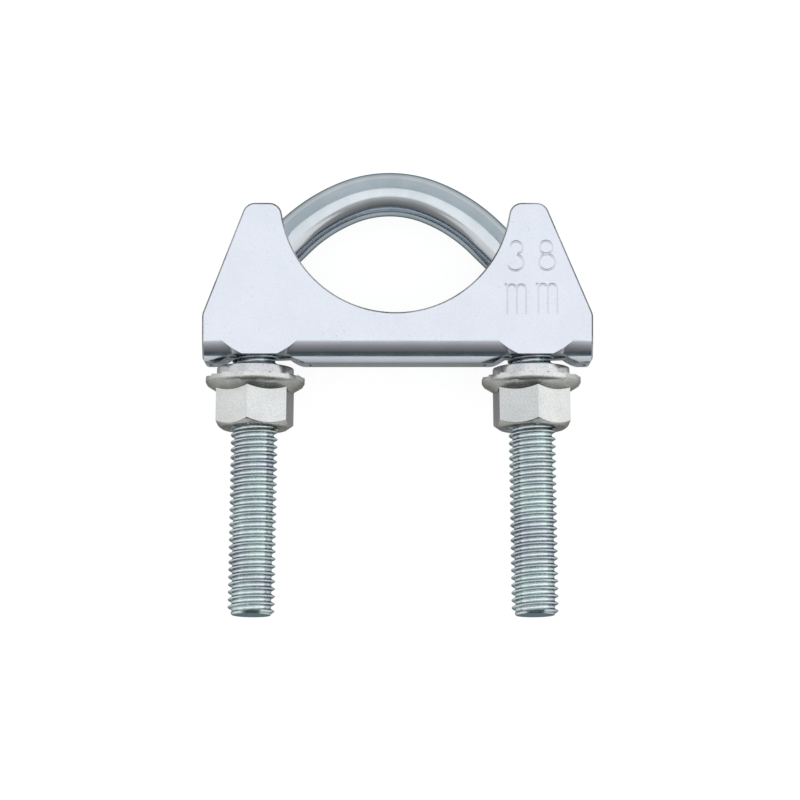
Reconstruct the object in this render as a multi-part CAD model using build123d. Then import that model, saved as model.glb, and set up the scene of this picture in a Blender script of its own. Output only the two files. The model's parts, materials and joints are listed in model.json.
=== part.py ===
from build123d import *

import os
from math import cos, radians, sin, tan

# Exhaust clamp for a 38 mm pipe: a U-bolt bent from threaded rod, a pressed saddle, two flange nuts
# and two spring washers. Millimetres.
#
# The clamp lies as it comes to rest on a bench: the saddle's back cheek is on z = 0 and so are the rims
# of the two nut flanges. The pipe's axis runs along Z, the bow of the U-bolt is towards +Y and the
# threaded legs point towards -Y. The U-bolt fits loosely in the saddle's holes, so its bow has dropped
# towards the back cheek and the ends of its legs stand up a little.

# Pipe and rod, which set how far apart the legs stand
PIPE_RADIUS = 19.0
ROD_RADIUS = 3.65            # bare rod, as drawn for thread rolling
LEG_PLAY = 0.33              # between the pipe and each leg

# Saddle: one sheet folded into a channel, with a cradle for the pipe cut in both cheeks
END_MARGIN = 9.32            # from a leg's axis out to the end of the saddle
SADDLE_SHIFT = 0.33          # middle of the saddle's length to the right of its cradle, as pressed
CHANNEL_WIDTH = 16.0
SHEET = 1.6
BEND_RADIUS = 4.0            # outside the fold between cheek and floor
CRADLE_DEPTH = 8.2           # from the lowest point of the cradle down to the floor's outer face
HORN_DROP = 0.85             # horn tips below the pipe's axis
HORN_WIDTH = 5.7             # from the pipe's side to the outer corner of a horn tip
HORN_TIP_RADIUS = 2.1
SHOULDER_HEIGHT = 7.85       # from the floor's outer face up to where the slanted edge starts
SHOULDER_RADIUS = 2.0        # where the slanted edge meets the end of the saddle
FOOT_RADIUS = 1.0            # corners of the floor at the ends of the saddle
EDGE_BREAK = 0.25            # broken edge round each cheek

# Nut seats: flats coined into the rounded foot of the channel round each bolt hole
SEAT_RADIUS = 8.5
SEAT_RISE = 1.35             # seat above the floor's outer face
SEAT_FLARE = 2.0             # how much wider the squared corner is where the fold begins
SEAT_NARROWER = 0.3          # seats' spacing against that of the legs, which splay
HOLE_PLAY = 0.6              # across the clamp, between hole and thread
HOLE_SLOT = 0.7              # how much further each hole reaches to either side, for the legs' splay

# U-bolt
THREAD_RADIUS = 3.9          # crests of the M8 thread
THREAD_RUNOUT = 1.2          # cone between bare rod and thread
THREAD_BEHIND = 5.2          # thread between a nut's bearing face and the runout
LEG_LENGTH = 39.7            # from a nut's bearing face to the end of the leg
LEG_CHAMFER = 0.7
LEG_SPLAY = 0.75             # each leg leans outwards, degrees
BOW_RISE = 1.77              # rod's centre at the top of the bow, beyond the pipe's axis
BOW_SHIFT = -0.6             # top of the bow to the left of the middle of the legs, as bent
BOW_TIGHTER = 0.5            # rod's centre line over the top of the bow, tighter than the pipe
BOW_ANGLE = 22.0             # half the angle of that arc, degrees
FLANK_FLATTER = 8.0          # and on each side of it, flatter than the pipe
FLANK_ANGLE = 45.0           # slope of the rod where the flank ends, degrees
FLANK_RUN = 4.0              # straight stretch from there to the bend into the leg

# Flange nuts
NUT_FLATS = 11.9
NUT_HEIGHT = 8.6
NUT_BORE_CLEARANCE = 0.05    # radial, over the thread crests
NUT_COUNTERSINK = 0.35
NUT_CHAMFER_RADIUS = 5.4     # of the end face inside the chamfer
NUT_CHAMFER_ANGLE = 35.0
FLANGE_RADIUS = 8.25
FLANGE_RIM = 0.85
FLANGE_CONE = 32.0           # slope of the flange's top, degrees
FLANGE_EDGE = 0.3            # width of the steeper band between rim and cone
FLANGE_EDGE_ANGLE = 60.0
SERRATIONS = 18
SERRATION_DEPTH = 0.28
NUT_TURNS = {"left": 9.0, "right": -8.0}    # uppermost corner, degrees about the leg

# Spring washers
WASHER_RADIUS = 6.4
WASHER_THICKNESS = 1.6
WASHER_CLEARANCE = 0.25      # radial, over the thread crests
WASHER_GAP = 1.0
WASHER_SLANT = 20.0          # slope of the split, degrees from the axis
WASHER_TURNS = {"left": 155.0, "right": -160.0}   # where the split is, degrees about the leg

# How the loose pieces lie
BOLT_TILT = 5.0              # legs against the surface, degrees
BOLT_SHIFT = -0.4            # legs to the left of the cradle's middle
SEAT_GAP = 1.95              # along the leg, from a seat to the washer below it

SIDES = {"left": -1, "right": 1}
BOLT_SPACING = 2 * (PIPE_RADIUS + LEG_PLAY + ROD_RADIUS)    # at the nuts' bearing faces
SADDLE_LENGTH = BOLT_SPACING + 2 * END_MARGIN
FLOOR_Y = -(PIPE_RADIUS + CRADLE_DEPTH)
SEAT_Y = FLOOR_Y + SEAT_RISE
BOW_HEIGHT = BOW_RISE - SEAT_Y + SEAT_GAP + WASHER_THICKNESS    # from the bearing faces
BOW_RADIUS = PIPE_RADIUS - BOW_TIGHTER
FLANK_RADIUS = PIPE_RADIUS + FLANK_FLATTER
HOLE_RADIUS_IN_NUT = THREAD_RADIUS + NUT_BORE_CLEARANCE
HOLE_Z = CHANNEL_WIDTH / 2
OVERCUT = 1.0                # how far cutting tools run past the material
TOLERANCE = 0.01             # for finding an edge or a corner by its place


def channel_section():
    """The folded sheet's U, drawn across the saddle."""
    depth = -HORN_DROP - FLOOR_Y
    middle = FLOOR_Y + depth / 2
    inner_radius = BEND_RADIUS - SHEET
    outer = Pos(middle, HOLE_Z) * Rectangle(depth, CHANNEL_WIDTH)
    outer = fillet(outer.vertices().group_by(Axis.X)[0], BEND_RADIUS)
    inner = Pos(middle + SHEET, HOLE_Z) * Rectangle(depth, CHANNEL_WIDTH - 2 * SHEET)
    inner = fillet(inner.vertices().group_by(Axis.X)[0], inner_radius)
    return outer - inner


def cheek_outline():
    """Both cheeks share this outline: end edges, slanted horns and the pipe's cradle between them."""
    half = SADDLE_LENGTH / 2
    shoulder = FLOOR_Y + SHOULDER_HEIGHT
    corner = PIPE_RADIUS + HORN_WIDTH
    right_end, left_end = SADDLE_SHIFT + half, SADDLE_SHIFT - half
    bottom = FLOOR_Y - OVERCUT
    right = [(right_end, bottom), (right_end, shoulder), (corner, -HORN_DROP)]
    left = [(-corner, -HORN_DROP), (left_end, shoulder), (left_end, bottom)]
    outline = make_face(Polyline(*right, *left, close=True)) - Circle(PIPE_RADIUS)
    for height, radius in ((shoulder, SHOULDER_RADIUS), (-HORN_DROP, HORN_TIP_RADIUS)):
        corners = outline.vertices().filter_by(lambda v: abs(v.Y - height) < TOLERANCE)
        outline = fillet(corners, radius)
    return outline


def seat_tool(side):
    """Frame of one nut seat: origin on the hole's axis at the seat, +Z down through the floor."""
    x = SADDLE_SHIFT + SIDES[side] * (BOLT_SPACING - SEAT_NARROWER) / 2
    return Pos(x, SEAT_Y, HOLE_Z) * Rot(90, 0, 0)


def saddle():
    """Channel cut to the cheek outline, with a coined seat and a slotted hole for each leg."""
    left_end = SADDLE_SHIFT - SADDLE_LENGTH / 2
    along_x = Plane(origin=(left_end, 0, 0), x_dir=(0, 1, 0), z_dir=(1, 0, 0))
    section = along_x * channel_section()
    prism = extrude(cheek_outline(), CHANNEL_WIDTH)
    body = extrude(section, SADDLE_LENGTH) & prism

    faces = body.faces().filter_by(Axis.Z).sort_by(Axis.Z)
    outer_edges = [e for face in (faces[0], faces[-1]) for e in face.edges()]
    body = chamfer([e for e in outer_edges if not runs_along_fold(e)], EDGE_BREAK)
    feet = Pos(SADDLE_SHIFT, 0) * RectangleRounded(SADDLE_LENGTH, -2 * FLOOR_Y, FOOT_RADIUS)
    body &= extrude(feet, CHANNEL_WIDTH)

    fold_height = BEND_RADIUS - SEAT_RISE
    room = Box(SADDLE_LENGTH, 2 * BEND_RADIUS, CHANNEL_WIDTH, align=(Align.CENTER, Align.MIN, Align.MIN))
    room = Pos(SADDLE_SHIFT, SEAT_Y, 0) * room
    inside = Pos(SADDLE_SHIFT, SEAT_Y + SHEET, SHEET) * Box(
        SADDLE_LENGTH, PIPE_RADIUS, CHANNEL_WIDTH - 2 * SHEET, align=(Align.CENTER, Align.MIN, Align.MIN)
    )
    for side in SIDES:
        frame = seat_tool(side)
        corner = Cone(
            SEAT_RADIUS + SEAT_FLARE, SEAT_RADIUS, fold_height, align=(Align.CENTER, Align.CENTER, Align.MAX)
        )
        body += (frame * corner) & room - inside
        recess = Cylinder(SEAT_RADIUS, SEAT_RISE + OVERCUT, align=(Align.CENTER, Align.CENTER, Align.MIN))
        body -= frame * recess
        slot = SlotCenterToCenter(2 * HOLE_SLOT, 2 * (THREAD_RADIUS + HOLE_PLAY))
        body -= frame * extrude(slot, SHEET + OVERCUT, both=True)
    return body


def runs_along_fold(edge):
    """True for the straight edge where a cheek's flat face runs into the fold."""
    return abs(edge.center().Y - (FLOOR_Y + BEND_RADIUS)) < TOLERANCE


def bolt_frame():
    """Frame of the U-bolt: origin between the nuts' bearing faces, +Y towards the bow."""
    drop = (WASHER_THICKNESS + SEAT_GAP) * cos(radians(BOLT_TILT))
    height = FLANGE_RADIUS * cos(radians(BOLT_TILT))
    return Pos(BOLT_SHIFT, SEAT_Y - drop, height) * Rot(-BOLT_TILT, 0, 0)


def leg_frame(side):
    """Frame of one leg inside the U-bolt's: origin at the bearing face, +Z towards the leg's end."""
    sign = SIDES[side]
    return Pos(sign * BOLT_SPACING / 2, 0, 0) * Rot(0, 0, sign * LEG_SPLAY) * Rot(90, 0, 0)


def half_bow(side):
    """Rod centre line from the top of the bow down one side to the start of the thread."""
    sign = SIDES[side]
    lean = tan(radians(LEG_SPLAY))
    flank_sin, flank_cos = sin(radians(FLANK_ANGLE)), cos(radians(FLANK_ANGLE))
    bow_sin, bow_cos = sin(radians(BOW_ANGLE)), cos(radians(BOW_ANGLE))
    splay_sin, splay_cos = sin(radians(LEG_SPLAY)), cos(radians(LEG_SPLAY))
    run_x, run_y = FLANK_RUN * flank_cos, FLANK_RUN * flank_sin
    flank_x = BOW_RADIUS * bow_sin + FLANK_RADIUS * (flank_sin - bow_sin) + run_x
    flank_y = BOW_HEIGHT - BOW_RADIUS * (1 - bow_cos) - FLANK_RADIUS * (bow_cos - flank_cos) - run_y
    reach = BOLT_SPACING / 2 - sign * BOW_SHIFT
    shoulder_radius = (reach - flank_y * lean - flank_x) / (
        splay_cos - flank_sin - (flank_cos - splay_sin) * lean
    )
    top = JernArc((BOW_SHIFT, BOW_HEIGHT), (sign, 0), BOW_RADIUS, -sign * BOW_ANGLE)
    flank = JernArc(top @ 1, top % 1, FLANK_RADIUS, -sign * (FLANK_ANGLE - BOW_ANGLE))
    run = Line(flank @ 1, (sign * flank_x + BOW_SHIFT, flank_y))
    shoulder_angle = 90 - LEG_SPLAY - FLANK_ANGLE
    shoulder = JernArc(run @ 1, run % 1, shoulder_radius, -sign * shoulder_angle)
    thread_start = (leg_frame(side) * Pos(0, 0, -(THREAD_BEHIND + THREAD_RUNOUT))).position
    leg = Line(shoulder @ 1, (thread_start.X, thread_start.Y))
    return [*top.edges(), *flank.edges(), *run.edges(), *shoulder.edges(), *leg.edges()]


def threaded_leg():
    """Threaded end of one leg, turned about its own axis."""
    start = -(THREAD_BEHIND + THREAD_RUNOUT)
    profile = Polyline(
        (0, start),
        (ROD_RADIUS, start),
        (THREAD_RADIUS, -THREAD_BEHIND),
        (THREAD_RADIUS, LEG_LENGTH - LEG_CHAMFER),
        (THREAD_RADIUS - LEG_CHAMFER, LEG_LENGTH),
        (0, LEG_LENGTH),
        close=True,
    )
    return revolve(Plane.XZ * make_face(profile), Axis.Z)


def u_bolt():
    """Bow and two threaded legs, one solid."""
    path = Wire([edge for side in SIDES for edge in half_bow(side)], sequenced=True)
    start = Plane(origin=path @ 0, z_dir=path % 0)
    bolt = sweep(start * Circle(ROD_RADIUS), path=path)
    for side in SIDES:
        bolt += leg_frame(side) * threaded_leg()
    return bolt_frame() * bolt


def serration():
    """One saw-tooth groove of the bearing face, a flat-sided pyramid with its tip on the nut's axis."""
    outer = FLANGE_RADIUS + OVERCUT
    half = outer * tan(radians(180 / SERRATIONS))
    deep = SERRATION_DEPTH * outer / FLANGE_RADIUS
    tip = (0, 0, 0)
    rim = [(outer, -half, -OVERCUT), (outer, -half, deep), (outer, half, 0), (outer, half, -OVERCUT)]
    sides = [make_face(Polyline(a, b, tip, close=True)) for a, b in zip(rim, rim[1:] + rim[:1])]
    return Solid(Shell([make_face(Polyline(*rim, close=True)), *sides]))


def nut(side):
    """Hexagon on a conical flange, with a serrated bearing face at z = 0."""
    hexagon = extrude(RegularPolygon(NUT_FLATS / 2, 6, major_radius=False), NUT_HEIGHT)
    chamfer_drop = (FLANGE_RADIUS - NUT_CHAMFER_RADIUS) * tan(radians(NUT_CHAMFER_ANGLE))
    envelope = Polyline(
        (0, 0), (FLANGE_RADIUS, 0), (FLANGE_RADIUS, NUT_HEIGHT - chamfer_drop),
        (NUT_CHAMFER_RADIUS, NUT_HEIGHT), (0, NUT_HEIGHT), close=True,
    )
    hexagon &= revolve(Plane.XZ * make_face(envelope), Axis.Z)

    cone_radius = FLANGE_RADIUS - FLANGE_EDGE
    cone_foot = FLANGE_RIM + FLANGE_EDGE * tan(radians(FLANGE_EDGE_ANGLE))
    cone_top = cone_foot + (cone_radius - HOLE_RADIUS_IN_NUT) * tan(radians(FLANGE_CONE))
    rim = Polyline(
        (0, 0), (FLANGE_RADIUS, 0), (FLANGE_RADIUS, FLANGE_RIM), (cone_radius, cone_foot),
        (HOLE_RADIUS_IN_NUT, cone_top), (0, cone_top), close=True,
    )
    flange = revolve(Plane.XZ * make_face(rim), Axis.Z)

    turn = 360 / SERRATIONS
    teeth = [Rot(0, 0, i * turn) * serration() for i in range(SERRATIONS)]
    wide = HOLE_RADIUS_IN_NUT + NUT_COUNTERSINK
    bore = Polyline(
        (0, -OVERCUT), (HOLE_RADIUS_IN_NUT, -OVERCUT), (HOLE_RADIUS_IN_NUT, NUT_HEIGHT - NUT_COUNTERSINK),
        (wide, NUT_HEIGHT), (wide, NUT_HEIGHT + OVERCUT), (0, NUT_HEIGHT + OVERCUT), close=True,
    )
    body = Rot(0, 0, 90 + NUT_TURNS[side]) * hexagon + flange - teeth
    body -= revolve(Plane.XZ * make_face(bore), Axis.Z)
    return bolt_frame() * leg_frame(side) * body


def spring_washer(side):
    """Split ring that lies on the nut's bearing face."""
    bore = THREAD_RADIUS + WASHER_CLEARANCE
    section = Pos((bore + WASHER_RADIUS) / 2, -WASHER_THICKNESS / 2) * Rectangle(
        WASHER_RADIUS - bore, WASHER_THICKNESS
    )
    ring = revolve(Plane.XZ * section, Axis.Z)
    saw = Box(WASHER_RADIUS, WASHER_GAP, WASHER_THICKNESS + 2 * OVERCUT)
    split = Pos((bore + WASHER_RADIUS) / 2, 0, -WASHER_THICKNESS / 2) * Rot(WASHER_SLANT, 0, 0) * saw
    ring -= split
    return bolt_frame() * leg_frame(side) * Rot(0, 0, 90 + WASHER_TURNS[side]) * ring


def build_parts():
    """Every piece, moved so that the origin is under the middle of the clamp's box."""
    parts = {"saddle": saddle(), "u_bolt": u_bolt()}
    for side in SIDES:
        parts[f"nut_{side}"] = nut(side)
        parts[f"spring_washer_{side}"] = spring_washer(side)
    box = Compound([solid for piece in parts.values() for solid in piece.solids()]).bounding_box()
    centre = box.center()
    to_origin = Pos(-centre.X, -centre.Y, -box.min.Z)
    return {name: to_origin * piece for name, piece in parts.items()}, to_origin


def main():
    os.makedirs("parts", exist_ok=True)
    parts, to_origin = build_parts()
    for name, piece in parts.items():
        export_step(piece, f"parts/{name}.step")
        print(f"{name}: {len(piece.solids())} solid, {piece.volume:.1f} mm3")
    print("pipe axis meets the surface at", to_origin.position)
    for side in SIDES:
        frame = to_origin * bolt_frame() * leg_frame(side)
        print(side, "leg: bearing face at", frame.position, "towards", Plane(frame).z_dir)


main()
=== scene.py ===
import json
from math import atan2, cos, pi, radians, sin, tan

import bmesh
import bpy
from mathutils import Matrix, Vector


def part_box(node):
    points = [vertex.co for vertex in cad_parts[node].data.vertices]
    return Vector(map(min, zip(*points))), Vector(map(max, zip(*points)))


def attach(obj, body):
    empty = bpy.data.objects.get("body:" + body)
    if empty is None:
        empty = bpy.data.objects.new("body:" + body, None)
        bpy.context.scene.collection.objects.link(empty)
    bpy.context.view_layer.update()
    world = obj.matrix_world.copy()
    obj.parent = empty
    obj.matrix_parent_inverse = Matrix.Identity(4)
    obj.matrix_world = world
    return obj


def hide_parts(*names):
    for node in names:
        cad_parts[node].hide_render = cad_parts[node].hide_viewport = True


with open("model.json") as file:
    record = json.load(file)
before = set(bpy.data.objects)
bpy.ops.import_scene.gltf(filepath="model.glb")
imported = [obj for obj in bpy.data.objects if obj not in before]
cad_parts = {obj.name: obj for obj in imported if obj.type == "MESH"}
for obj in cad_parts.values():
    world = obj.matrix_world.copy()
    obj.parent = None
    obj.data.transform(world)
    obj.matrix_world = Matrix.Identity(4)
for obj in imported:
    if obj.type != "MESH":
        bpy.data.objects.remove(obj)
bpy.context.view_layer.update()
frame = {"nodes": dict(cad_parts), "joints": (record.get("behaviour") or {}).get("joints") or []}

# Looks of an exhaust clamp: a U-bolt with rolled threads, a pressed saddle with its pipe size stamped
# in it, two flange nuts and two spring washers, all zinc plated. Metres.

MM = 0.001
SIDES = ("left", "right")
UP = Vector((0.0, 0.0, 1.0))

# U-bolt: the legs' places come from the frame, the bow has the same arcs as the solid
THREAD_PITCH = 1.25 * MM
CREST_RADIUS = 3.9 * MM
ROOT_RADIUS = 3.27 * MM
ROD_RADIUS = 3.65 * MM
THREAD_BEHIND = 5.2 * MM
THREAD_RUNOUT = 1.2 * MM
LEG_START = -(THREAD_BEHIND + THREAD_RUNOUT)
LEG_LENGTH = 39.7 * MM
LEG_CHAMFER = 0.7 * MM
LEG_END_RADIUS = CREST_RADIUS - LEG_CHAMFER
LEG_SPLAY = radians(0.75)
BOW_HEIGHT = 31.17 * MM
BOW_SHIFT = -0.6 * MM
BOW_RADIUS = 18.5 * MM
BOW_ANGLE = radians(22.0)
FLANK_RADIUS = 27.0 * MM
FLANK_ANGLE = radians(45.0)
FLANK_RUN = 4.0 * MM
ROD_SIDES = 72
ARC_STEP = radians(1.5)
ROD_SHARP_ANGLE = radians(38)
SEAM_GAP = 0.002 * MM
SLIVER_LENGTH = 0.0001 * MM

# Thread profile over one pitch: (place along the pitch, height between root and crest). A step that rises
# or falls by more than the least rise is a flank of the thread.
THREAD_PROFILE = ((0.0, 0.0), (0.1, 0.01), (0.15, 0.06), (0.2, 0.19), (0.39, 0.83), (0.43, 0.95),
                  (0.47, 1.0), (0.53, 1.0), (0.57, 0.95), (0.61, 0.83), (0.8, 0.19), (0.85, 0.06),
                  (0.9, 0.01))
THREAD_FLANK_RISE = 0.3

# Plain pipe size stamped in the front cheek, placed from the axis of the pipe
PIPE_AXIS = Vector((-0.33, 31.95, 0.0)) * MM
STAMP_WIDTH = 0.36 * MM
STAMP_DEPTH = 0.065 * MM
STAMP_SIDES = 72
STAMP_ARC_STEP = radians(12.0)
# Upper loop, then lower loop of both digits, and the ends of the arcs of the 3
LOOP_RADII = (1.06 * MM, 1.32 * MM)
THREE_AT = (Vector((19.9, -8.33, 0.0)) * MM, Vector((19.8, -10.8, 0.0)) * MM)
THREE_ARCS = ((radians(165), radians(-75)), (radians(80), radians(-160)))
EIGHT_AT = (Vector((24.85, -8.25, 0.0)) * MM, Vector((25.0, -10.72, 0.0)) * MM)
# Upper left corner of each m
UNITS_AT = (Vector((18.42, -14.45, 0.0)) * MM, Vector((23.54, -14.35, 0.0)) * MM)
UNIT_LEGS = 3
UNIT_LEG_PITCH = 1.55 * MM
UNIT_LEG_STEPS = 6
UNIT_HEIGHT = 4.9 * MM
UNIT_ARCH_DROP = 0.8 * MM
UNIT_SERIF = 0.25 * UNIT_LEG_PITCH

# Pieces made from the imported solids: joined points, flat areas, rounded edges and smooth shading
WELD_GAP = 0.001 * MM
FLAT_ANGLE = radians(0.2)
FLAT_COSINE = 0.99999
EDGE_SEGMENTS = 2
ROUND_PROFILE = 0.5
SHEET_SHARP_ANGLE = radians(40)
NUT_EDGE_ANGLE = radians(20)
NUT_EDGE_ROUND = 0.22 * MM
NUT_SHARP_ANGLE = radians(35)
FLANGE_TOP = 2.6 * MM
HEX_REACH = 5.5 * MM
WASHER_EDGE_ANGLE = radians(50)
WASHER_EDGE_ROUND = 0.14 * MM
WASHER_SHARP_ANGLE = radians(40)

# Which of a piece's materials a face has, where it isn't the first
# Thread crests and roots get a lighter zinc, a painted highlight, and the flanks a darker zinc, a painted
# shade
THREAD_HIGHLIGHT_INDEX, FLANK_SHADE_INDEX = 1, 2
SHEARED_INDEX, STROKE_INDEX = 1, 2
NUT_SHADE_INDEX = 1
# Faces of a nut that look along its leg are its forged faces: their zinc is rougher, and darker as painted
# shade
NUT_SHADE_FACING = 0.4
# Sheared edges of the sheet: the walls above the fold and the two ends of the channel
CHEEK_START = 8.8 * MM
WALL_SLOPE = 0.75
SADDLE_END = 32.0 * MM

# Patterns of the zinc: scale, detail, and the two levels between which each one changes
CLOUDS = (140.0, 4.0, 0.35, 0.62)
SPECKS = (2600.0, 2.0, 0.70, 0.78)
MOTTLE = (3600.0, 2.0, 0.38, 0.6)
BLUR = (420.0, 5.0, 0.3, 0.7)
SPECK_SHADE = 0.72
GRAIN_DETAIL = 3.0
GRAIN_STRENGTH = 0.12
GRAIN_HEIGHT = 0.02 * MM
# Numbers of a Mix node's factor, first and second colour, and of the colour that it gives
MIX_FACTOR, MIX_FIRST, MIX_SECOND, MIX_RESULT = 0, 6, 7, 2

# Floor and lights
FLOOR_SIZE = 6.0
FLOOR_COLOUR = (0.86, 0.86, 0.86, 1.0)
FLOOR_ROUGHNESS = 0.9
FLOOR_GLOW = 1.2
FLOOR_MIRRORED = 0.27
FLOOR_WHITE_SHARE = 0.75
OVERHEAD_HEIGHT = 1.3
OVERHEAD_REACH = (radians(-14), radians(29))
OVERHEAD_HALF_WIDTH = radians(25)
OVERHEAD_RADIANCE = 1.46
SIDE_DISTANCE = 1.0
SIDE_HALF_ANGLE = radians(15.5)
SIDE_LENGTH = 1.2
# Name, angle from straight up (left is negative) and radiance of each side light
SIDE_LIGHTS = (("left_high_softbox", radians(-40.5), 0.88), ("left_low_softbox", radians(-71), 1.35),
               ("right_high_softbox", radians(40.5), 1.48), ("right_low_softbox", radians(71), 1.85))

# Colours of the room from the wall in front of the legs (0) to the wall behind the bow (1), and of the
# walls at its sides, which start where a direction is as much sideways as the two stops say
ROOM_TONES = ((0.0, (0.07, 0.10, 0.11)), (0.025, (0.06, 0.075, 0.08)), (0.08, (0.17, 0.175, 0.18)),
              (0.2, (0.31, 0.305, 0.30)), (0.3, (0.49, 0.485, 0.49)), (0.42, (0.6, 0.6, 0.61)),
              (0.5, (0.6, 0.61, 0.62)), (0.75, (0.5, 0.55, 0.58)), (1.0, (0.58, 0.63, 0.67)))
SIDE_WALL = (0.5, 0.52, 0.52, 1.0)
SIDE_WALL_STOPS = ((0.75, (0.0, 0.0, 0.0)), (0.95, (1.0, 1.0, 1.0)))
WHITE = (1.0, 1.0, 1.0, 1.0)

# Camera
CAMERA_DISTANCE = 0.8
CAMERA_ELEVATION = radians(86.0)
CAMERA_TARGET = Vector((0.4, -0.5, 0.0)) * MM
CAMERA_LENS = 213.9
CAMERA_SENSOR = 36.0
CAMERA_REACH = (0.01, 20.0)


def finished_mesh(bm, name, materials):
    """Turn mesh work into a mesh with its materials."""
    mesh = bpy.data.meshes.new(name)
    bm.to_mesh(mesh)
    bm.free()
    for material in materials:
        mesh.materials.append(material)
    return mesh


def new_object(name, data):
    """Put an object in the scene."""
    obj = bpy.data.objects.new(name, data)
    bpy.context.scene.collection.objects.link(obj)
    return obj


def new_piece(name, mesh, body):
    """Put a piece in the scene and let it ride on a body."""
    obj = new_object(name, mesh)
    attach(obj, body)
    return obj


def joint(name):
    return next(j for j in frame["joints"] if j["name"] == name)


def leg_axes(side):
    """Bearing point of one leg, its direction to the leg's end, and a direction square to it."""
    nut = joint(f"nut_{side}_turn")
    along = -Vector(nut["axis"]).normalized()
    upward = along.cross(Vector((1.0, 0.0, 0.0))).normalized()
    if upward.z < 0:
        upward.negate()
    return Vector(nut["pos_m"]), along, upward


# U-bolt

def bow_axes():
    """Middle between the bearing points, their spacing, and the bow's own directions: across, towards
    its top, and upward."""
    left, left_along, _ = leg_axes("left")
    right, right_along, _ = leg_axes("right")
    towards = -(left_along + right_along).normalized()
    across = (right - left).normalized()
    return (left + right) / 2, (right - left).length, across, towards, across.cross(towards)


def half_bow(sign, spacing):
    """Centre line of one half of the bow in its own plane: points with their directions."""
    bow_sin, bow_cos = sin(BOW_ANGLE), cos(BOW_ANGLE)
    flank_sin, flank_cos = sin(FLANK_ANGLE), cos(FLANK_ANGLE)
    lean = tan(LEG_SPLAY)
    leg_angle = pi / 2 - LEG_SPLAY
    x, y, angle = BOW_SHIFT * sign, BOW_HEIGHT, 0.0
    # Where the straight flank ends, and the radius that brings the shoulder from there to the leg
    flank_x = x + BOW_RADIUS * bow_sin + FLANK_RADIUS * (flank_sin - bow_sin) + FLANK_RUN * flank_cos
    flank_y = y - BOW_RADIUS * (1 - bow_cos) - FLANK_RADIUS * (bow_cos - flank_cos) - FLANK_RUN * flank_sin
    shoulder = (spacing / 2 - flank_y * lean - flank_x) / (
        cos(LEG_SPLAY) - flank_sin - (flank_cos - sin(LEG_SPLAY)) * lean
    )
    points = [(x, y, angle)]
    # Radius of each arc, the angle that it reaches, and the straight run after it
    for radius, target, run in ((BOW_RADIUS, BOW_ANGLE, 0.0), (FLANK_RADIUS, FLANK_ANGLE, FLANK_RUN),
                                (shoulder, leg_angle, 0.0)):
        steps = round((target - angle) / ARC_STEP)
        first, x0, y0 = angle, x, y
        for step in range(1, steps + 1):
            angle = first + (target - first) * step / steps
            x = x0 + radius * (sin(angle) - sin(first))
            y = y0 - radius * (cos(first) - cos(angle))
            points.append((x, y, angle))
        if run:
            x += run * cos(angle)
            y -= run * sin(angle)
            points.append((x, y, angle))
    thread_y = -LEG_START * cos(LEG_SPLAY)
    points.append((spacing / 2 - thread_y * lean, thread_y, leg_angle))
    return points


def add_ring(bm, centre, side_dir, up_dir, radius, sides=ROD_SIDES):
    ring = []
    for i in range(sides):
        turn = 2 * pi * i / sides
        ring.append(bm.verts.new(centre + radius * (cos(turn) * up_dir + sin(turn) * side_dir)))
    return ring


def join_rings(bm, rings):
    count = len(rings[0])
    for first, second in zip(rings, rings[1:]):
        for i in range(count):
            j = (i + 1) % count
            bm.faces.new((first[i], first[j], second[j], second[i]))


def add_bow(bm):
    middle, spacing, across, towards, up = bow_axes()
    for sign in (-1, 1):
        rings = []
        for x, y, angle in half_bow(sign, spacing):
            centre = middle + across * (sign * x) + towards * y
            outward = across * (sign * sin(angle)) + towards * cos(angle)
            rings.append(add_ring(bm, centre, outward * sign, up, ROD_RADIUS))
        join_rings(bm, rings)


def leg_radius(place, height):
    """Radius of a leg at a distance from the bearing face, for a height on the thread's profile."""
    if place <= LEG_START:
        return ROD_RADIUS
    if place >= LEG_LENGTH:
        return LEG_END_RADIUS
    thread = ROOT_RADIUS + (CREST_RADIUS - ROOT_RADIUS) * height
    if place < -THREAD_BEHIND:
        return ROD_RADIUS + (thread - ROD_RADIUS) * (place - LEG_START) / THREAD_RUNOUT
    return min(thread, LEG_END_RADIUS + LEG_LENGTH - place)


def add_leg(bm, side):
    """Helical grid whose rows follow the thread, trimmed flat at both ends and capped. It has whole turns
    past both ends, which the trim draws flat."""
    origin, along, up = leg_axes(side)
    across = along.cross(up)
    first_turn = int(LEG_START / THREAD_PITCH) - 2
    last_turn = int(LEG_LENGTH / THREAD_PITCH) + 1
    rows = [(turn + place, height) for turn in range(first_turn, last_turn + 1)
            for place, height in THREAD_PROFILE]
    grid = []
    for offset, height in rows:
        row = []
        for i in range(ROD_SIDES + 1):
            turn = i / ROD_SIDES
            place = min(max((offset + turn) * THREAD_PITCH, LEG_START), LEG_LENGTH)
            outward = cos(2 * pi * turn) * up + sin(2 * pi * turn) * across
            row.append(bm.verts.new(origin + along * place + leg_radius(place, height) * outward))
        grid.append(row)
    for (_, low), (_, high), first, second in zip(rows, rows[1:], grid, grid[1:]):
        # Flanks get the darker zinc, painted shade; crests and roots the lighter zinc, painted highlight
        index = FLANK_SHADE_INDEX if abs(high - low) > THREAD_FLANK_RISE else THREAD_HIGHLIGHT_INDEX
        for i in range(ROD_SIDES):
            face = bm.faces.new((first[i], first[i + 1], second[i + 1], second[i]))
            face.material_index = index
    tip = origin + along * LEG_LENGTH
    centre = bm.verts.new(tip)
    rim = add_ring(bm, tip, across, up, LEG_END_RADIUS)
    for i in range(ROD_SIDES):
        bm.faces.new((rim[i], rim[(i + 1) % ROD_SIDES], centre))


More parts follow.
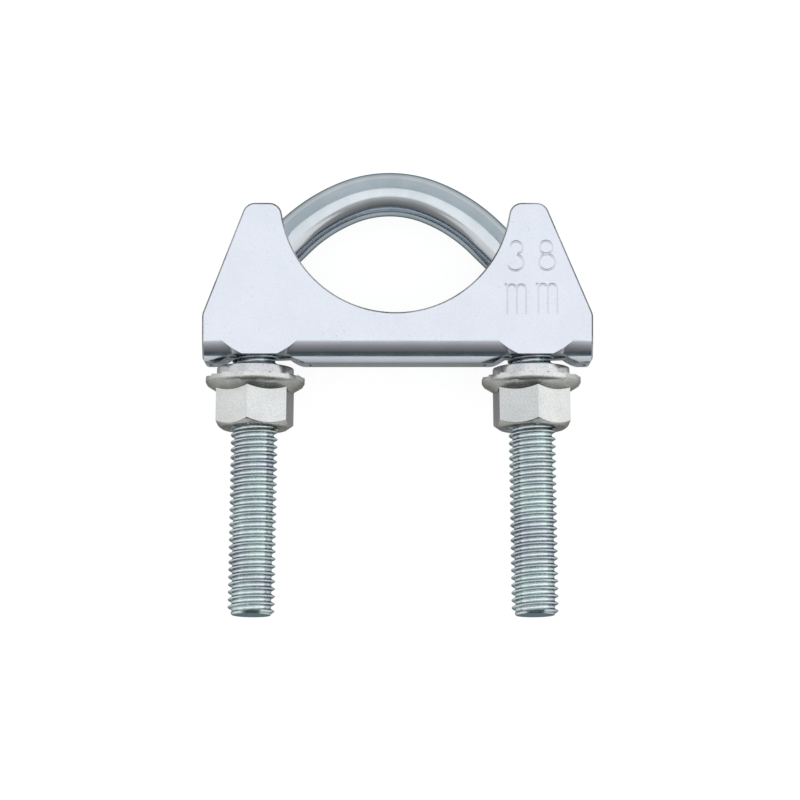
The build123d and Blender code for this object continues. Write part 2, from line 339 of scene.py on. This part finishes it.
def u_bolt(materials):
    """One rod: the bow with its two threaded legs."""
    bm = bmesh.new()
    add_bow(bm)
    for side in SIDES:
        add_leg(bm, side)
    bmesh.ops.remove_doubles(bm, verts=bm.verts, dist=SEAM_GAP)
    bmesh.ops.dissolve_degenerate(bm, edges=bm.edges, dist=SLIVER_LENGTH)
    bmesh.ops.recalc_face_normals(bm, faces=bm.faces)
    mesh = finished_mesh(bm, "threaded_u_bolt", materials)
    mesh.shade_smooth()
    mesh.set_sharp_from_angle(angle=ROD_SHARP_ANGLE)
    piece = new_piece("threaded_u_bolt", mesh, "u_bolt")
    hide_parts("u_bolt")


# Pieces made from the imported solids

def welded_copy(node):
    """The solid's mesh with its faces joined and its flat areas in one face each."""
    bm = bmesh.new()
    bm.from_mesh(frame["nodes"][node].data)
    bmesh.ops.remove_doubles(bm, verts=bm.verts, dist=WELD_GAP)
    bmesh.ops.dissolve_limit(bm, angle_limit=FLAT_ANGLE, verts=bm.verts, edges=bm.edges)
    bmesh.ops.recalc_face_normals(bm, faces=bm.faces)
    return bm


def sharp_edges(bm, least_angle):
    return [edge for edge in bm.edges if edge.is_convex and edge.calc_face_angle() > least_angle]


def round_edges(bm, edges, width):
    bmesh.ops.bevel(bm, geom=edges, offset=width, offset_type="OFFSET", segments=EDGE_SEGMENTS,
                    profile=ROUND_PROFILE, affect="EDGES", clamp_overlap=True)


def is_stamp_rim(edge):
    """Whether an edge lies between the sheet and a stamped stroke."""
    return sum(face.material_index == STROKE_INDEX for face in edge.link_faces) == 1


def finished_piece(bm, name, node, materials, body, sharp_angle):
    """Turn a worked mesh into the piece that stands for its node. Faces that are flat and square to the
    frame keep flat shading up to their rims, and edges under the sharp angle shade round."""
    leader = bm.faces.layers.int.new("__mod_weightednormals_faceweight")
    for face in bm.faces:
        face.smooth = True
        face[leader] = int(max(abs(value) for value in face.normal) > FLAT_COSINE)
    for edge in bm.edges:
        edge.smooth = edge.calc_face_angle(0.0) < sharp_angle and not is_stamp_rim(edge)
    piece = new_piece(name, finished_mesh(bm, name, materials), body)
    shading = piece.modifiers.new("soft_edges", "WEIGHTED_NORMAL")
    shading.mode = "FACE_AREA_WITH_ANGLE"
    shading.keep_sharp = True
    shading.use_face_influence = True
    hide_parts(node)


def arc_points(centre, radius, first, last):
    steps = round(abs(last - first) / STAMP_ARC_STEP)
    turns = [first + (last - first) * i / steps for i in range(steps + 1)]
    return [centre + radius * Vector((cos(turn), sin(turn), 0.0)) for turn in turns]


def unit_strokes(corner):
    """Strokes of one m, as lists of points: its serif, its legs and its arches."""
    strokes = [[corner + Vector((-UNIT_SERIF, 0.0, 0.0)), corner]]
    for leg in range(UNIT_LEGS):
        top = corner + Vector((leg * UNIT_LEG_PITCH, -UNIT_ARCH_DROP if leg else 0.0, 0.0))
        foot = corner + Vector((leg * UNIT_LEG_PITCH, -UNIT_HEIGHT, 0.0))
        strokes.append([top.lerp(foot, step / UNIT_LEG_STEPS) for step in range(UNIT_LEG_STEPS + 1)])
    flat = 2 * UNIT_ARCH_DROP / UNIT_LEG_PITCH
    for arch in range(UNIT_LEGS - 1):
        middle = corner + Vector(((arch + 0.5) * UNIT_LEG_PITCH, -UNIT_ARCH_DROP, 0.0))
        arc = arc_points(Vector(), UNIT_LEG_PITCH / 2, pi, 0.0)
        strokes.append([middle + Vector((point.x, point.y * flat, 0.0)) for point in arc])
    return strokes


def size_strokes():
    """Strokes of the stamped 38 mm, as lists of points, with whether each one closes on itself."""
    strokes = [(arc_points(centre, radius, first, last), False)
               for centre, radius, (first, last) in zip(THREE_AT, LOOP_RADII, THREE_ARCS)]
    strokes += [(arc_points(centre, radius, 0.0, 2 * pi)[:-1], True)
                for centre, radius in zip(EIGHT_AT, LOOP_RADII)]
    strokes += [(points, False) for corner in UNITS_AT for points in unit_strokes(corner)]
    return strokes


def stamp_cutter(surface, materials):
    """Round bars along the strokes, sunk in the surface as deep as the stamp."""
    bar_radius = (STAMP_WIDTH ** 2 / 4 + STAMP_DEPTH ** 2) / (2 * STAMP_DEPTH)
    lift = UP * (surface + bar_radius - STAMP_DEPTH)
    bm = bmesh.new()
    for points, closed in size_strokes():
        places = [PIPE_AXIS + point + lift for point in points]
        rings = []
        for i, place in enumerate(places):
            before = places[i - 1] if closed or i else place
            after = places[(i + 1) % len(places)] if closed or i + 1 < len(places) else place
            side = (after - before).normalized().cross(UP)
            rings.append(add_ring(bm, place, side, UP, bar_radius, STAMP_SIDES))
        if closed:
            join_rings(bm, rings + rings[:1])
        else:
            join_rings(bm, rings)
            bm.faces.new(rings[0])
            bm.faces.new(rings[-1])
    bmesh.ops.recalc_face_normals(bm, faces=bm.faces)
    # The stroke faces become the walls of the stamped grooves, whose darker zinc is painted shade
    for face in bm.faces:
        face.material_index = STROKE_INDEX
    return new_object("stamp_cutter", finished_mesh(bm, "stamp_cutter", materials))


def stamped_sheet(materials):
    """The saddle's mesh with its plain pipe size cut into the front cheek."""
    blank = new_object("saddle_blank", finished_mesh(welded_copy("saddle"), "saddle_blank", materials))
    cutter = stamp_cutter(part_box("saddle")[1].z, materials)
    cut = blank.modifiers.new("stamp", "BOOLEAN")
    cut.operation = "DIFFERENCE"
    cut.solver = "EXACT"
    cut.use_self = True
    cut.object = cutter
    ready = blank.evaluated_get(bpy.context.evaluated_depsgraph_get())
    bm = bmesh.new()
    bm.from_mesh(ready.to_mesh())
    ready.to_mesh_clear()
    for obj in (blank, cutter):
        bpy.data.objects.remove(obj)
    bm.normal_update()
    return bm


def stamped_saddle(materials):
    """Saddle with its stamp, and with the sheared edges of its sheet marked."""
    bm = stamped_sheet(materials)
    for face in bm.faces:
        if face.material_index == STROKE_INDEX:
            continue
        middle = face.calc_center_median()
        wall = middle.y > CHEEK_START and abs(face.normal.z) < WALL_SLOPE
        face.material_index = SHEARED_INDEX if wall or abs(middle.x) > SADDLE_END else 0
    finished_piece(bm, "stamped_saddle", "saddle", materials, "saddle", SHEET_SHARP_ANGLE)


def is_on_hexagon(point, origin, along):
    """Whether a point of a nut lies above its flange and outside its bore's chamfer."""
    arm = point - origin
    place = arm.dot(along)
    return place > FLANGE_TOP and (arm - along * place).length > HEX_REACH


def flange_nut(side, materials):
    """Nut with the edges of its hexagon rounded a little, and with a darker zinc, painted shade, on its
    forged faces that look along its leg.
    """
    origin, along, _ = leg_axes(side)
    bm = welded_copy(f"nut_{side}")
    edges = [edge for edge in sharp_edges(bm, NUT_EDGE_ANGLE)
             if all(is_on_hexagon(vertex.co, origin, along) for vertex in edge.verts)]
    round_edges(bm, edges, NUT_EDGE_ROUND)
    bm.normal_update()
    for face in bm.faces:
        # Faces that look along the leg get the darker zinc: painted shade
        face.material_index = NUT_SHADE_INDEX if face.normal.dot(along) > NUT_SHADE_FACING else 0
    finished_piece(bm, f"flange_nut_{side}", f"nut_{side}", materials, f"nut_{side}",
                   NUT_SHARP_ANGLE)


def split_washer(side, materials):
    """Spring washer with its sharp edges broken."""
    bm = welded_copy(f"spring_washer_{side}")
    round_edges(bm, sharp_edges(bm, WASHER_EDGE_ANGLE), WASHER_EDGE_ROUND)
    finished_piece(bm, f"split_washer_{side}", f"spring_washer_{side}", materials, f"washer_{side}",
                   WASHER_SHARP_ANGLE)


# Materials

class Nodes:
    """Adds nodes to one material or to the world, and links them."""

    def __init__(self, owner):
        owner.use_nodes = True
        self.nodes = owner.node_tree.nodes
        self.links = owner.node_tree.links
        self.nodes.clear()

    def add(self, kind, inputs=(), **settings):
        """New node with its settings. Inputs, by name or number, get a constant or a node's output."""
        node = self.nodes.new("ShaderNode" + kind)
        for name, value in settings.items():
            setattr(node, name, value)
        for key, value in dict(inputs).items():
            if isinstance(value, bpy.types.NodeSocket):
                self.links.new(value, node.inputs[key])
            else:
                node.inputs[key].default_value = value
        return node

    def math(self, operation, *values, clamp=False):
        return self.add("Math", enumerate(values), operation=operation, use_clamp=clamp).outputs[0]

    def mix(self, factor, first, second, mode="MIX"):
        colours = {MIX_FACTOR: factor, MIX_FIRST: first, MIX_SECOND: second}
        return self.add("Mix", colours, data_type="RGBA", blend_type=mode).outputs[MIX_RESULT]

    def ramp(self, value, stops, interpolation="LINEAR"):
        """Colours between stops of (position, colour)."""
        node = self.add("ValToRGB", {"Fac": value})
        node.color_ramp.interpolation = interpolation
        elements = node.color_ramp.elements
        while len(elements) < len(stops):
            elements.new(0.5)
        for element, (position, colour) in zip(elements, stops):
            element.position = position
            element.color = (*colour, 1.0)
        return node.outputs["Color"]

    def noise(self, place, scale, detail):
        return self.add("TexNoise", {"Vector": place, "Scale": scale, "Detail": detail}).outputs["Fac"]

    def pattern(self, place, kind, low, high):
        """Noise that eases from one colour to another between its two levels."""
        scale, detail, start, end = kind
        return self.ramp(self.noise(place, scale, detail), ((start, low), (end, high)), "EASE")


def grey(value):
    return value, value, value


def zinc(name, light, dark, roughness, edge_tint, grain=900.0, grain_depth=0.6, mottle=0.03):
    """Zinc plate: slightly clouded metal with fine mottling, fine grain and small dark specks."""
    material = bpy.data.materials.new(name)
    shader = Nodes(material)
    place = shader.add("TexCoord").outputs["Object"]
    specks = shader.pattern(place, SPECKS, grey(1.0), grey(SPECK_SHADE))
    mottling = shader.pattern(place, MOTTLE, grey(1.0 - mottle), grey(1.0))
    colour = shader.pattern(place, CLOUDS, dark, light)
    for shade in (specks, mottling):
        colour = shader.mix(1.0, colour, shade, "MULTIPLY")
    smooth, rough = roughness
    bump = shader.add("Bump", {
        "Strength": GRAIN_STRENGTH * grain_depth,
        "Distance": GRAIN_HEIGHT,
        "Height": shader.noise(place, grain, GRAIN_DETAIL),
    })
    bsdf = shader.add("BsdfPrincipled", {
        "Base Color": colour,
        "Metallic": 1.0,
        "Specular Tint": (*edge_tint, 1.0),
        "Roughness": shader.pattern(place, BLUR, grey(smooth), grey(rough)),
        "Normal": bump.outputs["Normal"],
    })
    shader.add("OutputMaterial", {"Surface": bsdf.outputs[0]})
    return material


def floor_material():
    """Pale floor that shows white to the eye and partly to metal, and keeps part of its shadow."""
    material = bpy.data.materials.new("pale_floor")
    shader = Nodes(material)
    plain = shader.add("BsdfPrincipled", {
        "Base Color": FLOOR_COLOUR,
        "Roughness": FLOOR_ROUGHNESS,
        "Specular IOR Level": 0.0,
    })
    glow = shader.add("Emission", {"Strength": FLOOR_GLOW})
    rays = shader.add("LightPath")
    mirrored = shader.math("MULTIPLY", rays.outputs["Is Glossy Ray"], FLOOR_MIRRORED)
    seen = shader.math("ADD", rays.outputs["Is Camera Ray"], mirrored, clamp=True)
    seen = shader.math("ADD", seen, rays.outputs["Is Transmission Ray"], clamp=True)
    share = shader.math("MULTIPLY", seen, FLOOR_WHITE_SHARE)
    surface = shader.add("MixShader", {0: share, 1: plain.outputs[0], 2: glow.outputs[0]})
    shader.add("OutputMaterial", {"Surface": surface.outputs[0]})
    return material


# Studio

def studio_floor():
    bm = bmesh.new()
    bmesh.ops.create_grid(bm, x_segments=1, y_segments=1, size=FLOOR_SIZE / 2)
    obj = new_object("studio_floor", finished_mesh(bm, "studio_floor", [floor_material()]))


def softbox(name, place, size_x, size_y, radiance):
    """Rectangular soft light that faces the origin and shows in metal at the given brightness."""
    lamp = bpy.data.lights.new(name, "AREA")
    lamp.shape = "RECTANGLE"
    lamp.size = size_x
    lamp.size_y = size_y
    lamp.energy = radiance * size_x * size_y
    obj = new_object(name, lamp)
    obj.location = place
    obj.rotation_euler = (0.0, atan2(place.x, place.z), 0.0)
    obj.visible_camera = False


def softboxes():
    """One light overhead, which the flat cheek of the saddle mirrors, and two on each side."""
    near, far = (OVERHEAD_HEIGHT * tan(angle) for angle in OVERHEAD_REACH)
    width = 2 * OVERHEAD_HEIGHT * tan(OVERHEAD_HALF_WIDTH)
    middle = Vector((0.0, (near + far) / 2, OVERHEAD_HEIGHT))
    softbox("overhead_softbox", middle, width, far - near, OVERHEAD_RADIANCE)
    width = 2 * SIDE_DISTANCE * tan(SIDE_HALF_ANGLE)
    for name, angle, radiance in SIDE_LIGHTS:
        middle = SIDE_DISTANCE * Vector((sin(angle), 0.0, cos(angle)))
        softbox(name, middle, width, SIDE_LENGTH, radiance)


def studio_world():
    """Soft room light: mid grey behind the bow and dark teal in front of the legs. The eye sees white."""
    world = bpy.data.worlds.new("studio_room")
    bpy.context.scene.world = world
    shader = Nodes(world)
    direction = shader.add("TexCoord").outputs["Generated"]
    axes = shader.add("SeparateXYZ", {"Vector": direction})
    along = shader.math("MULTIPLY_ADD", axes.outputs["Y"], 0.5, 0.5)
    sideways = shader.math("ABSOLUTE", axes.outputs["X"])
    to_side = shader.ramp(sideways, SIDE_WALL_STOPS)
    walls = shader.mix(to_side, shader.ramp(along, ROOM_TONES), SIDE_WALL)
    rays = shader.add("LightPath")
    colour = shader.mix(rays.outputs["Is Camera Ray"], walls, WHITE)
    background = shader.add("Background", {"Color": colour})
    shader.add("OutputWorld", {"Surface": background.outputs[0]})


def camera():
    """Camera at the photograph's viewing angle, almost straight above."""
    data = bpy.data.cameras.new("camera")
    data.lens = CAMERA_LENS
    data.sensor_width = CAMERA_SENSOR
    data.clip_start, data.clip_end = CAMERA_REACH
    obj = new_object("camera", data)
    direction = Vector((0.0, -cos(CAMERA_ELEVATION), sin(CAMERA_ELEVATION)))
    obj.location = CAMERA_TARGET + direction * CAMERA_DISTANCE
    obj.rotation_euler = (pi / 2 - CAMERA_ELEVATION, 0.0, 0.0)
    bpy.context.scene.camera = obj


# Assembly

camera()
studio_floor()
softboxes()
studio_world()
bpy.context.scene.view_settings.view_transform = "Standard"

rod_zinc = zinc(
    "rod_zinc", light=(0.71, 0.76, 0.79), dark=(0.63, 0.68, 0.71), roughness=(0.08, 0.16),
    edge_tint=(0.12, 0.2, 0.22),
)
# Lighter zinc of the thread's crests and roots: painted highlight
thread_painted_highlight_zinc = zinc(
    "thread_painted_highlight_zinc", light=(0.86, 0.95, 0.94), dark=(0.80, 0.83, 0.88), roughness=(0.12, 0.24),
    edge_tint=(0.3, 0.35, 0.36), grain=1500.0, grain_depth=3.0, mottle=0.08,
)
# Darker, mottled zinc of the thread's flanks: painted shade
flank_painted_shade_zinc = zinc(
    "flank_painted_shade_zinc", light=(0.60, 0.69, 0.68), dark=(0.46, 0.51, 0.55), roughness=(0.16, 0.3),
    edge_tint=(0.25, 0.32, 0.34), grain=1500.0, grain_depth=3.0, mottle=0.35,
)
sheet_zinc = zinc(
    "sheet_zinc", light=(0.76, 0.79, 0.86), dark=(0.74, 0.77, 0.84), roughness=(0.13, 0.2),
    edge_tint=(0.34, 0.36, 0.34),
)
sheared_zinc = zinc(
    "sheared_zinc", light=(0.62, 0.62, 0.63), dark=(0.22, 0.22, 0.23), roughness=(0.25, 0.4),
    edge_tint=(0.3, 0.3, 0.3), mottle=0.3,
)
# Darker, rougher zinc in the stamped grooves; the darker colour is painted shade
stamp_painted_shade_zinc = zinc(
    "stamp_painted_shade_zinc", light=(0.71, 0.74, 0.80), dark=(0.65, 0.68, 0.74), roughness=(0.16, 0.26),
    edge_tint=(0.4, 0.42, 0.45),
)
nut_zinc = zinc(
    "nut_zinc", light=(0.78, 0.78, 0.77), dark=(0.70, 0.70, 0.69), roughness=(0.14, 0.24),
    edge_tint=(0.4, 0.4, 0.4), grain=3000.0, grain_depth=3.0, mottle=0.1,
)
# Rougher copy of the nut's zinc for its forged faces; its darker colour is painted shade
nut_painted_shade_zinc = zinc(
    "nut_painted_shade_zinc", light=(0.72, 0.72, 0.68), dark=(0.54, 0.54, 0.50), roughness=(0.22, 0.36),
    edge_tint=(0.3, 0.3, 0.3), grain=3000.0, grain_depth=3.0, mottle=0.2,
)
washer_zinc = zinc(
    "washer_zinc", light=(0.76, 0.76, 0.77), dark=(0.66, 0.66, 0.68), roughness=(0.15, 0.28),
    edge_tint=(0.4, 0.4, 0.4), grain=2000.0, grain_depth=2.0, mottle=0.12,
)

u_bolt((rod_zinc, thread_painted_highlight_zinc, flank_painted_shade_zinc))
stamped_saddle((sheet_zinc, sheared_zinc, stamp_painted_shade_zinc))
for side in SIDES:
    flange_nut(side, (nut_zinc, nut_painted_shade_zinc))
    split_washer(side, (washer_zinc,))
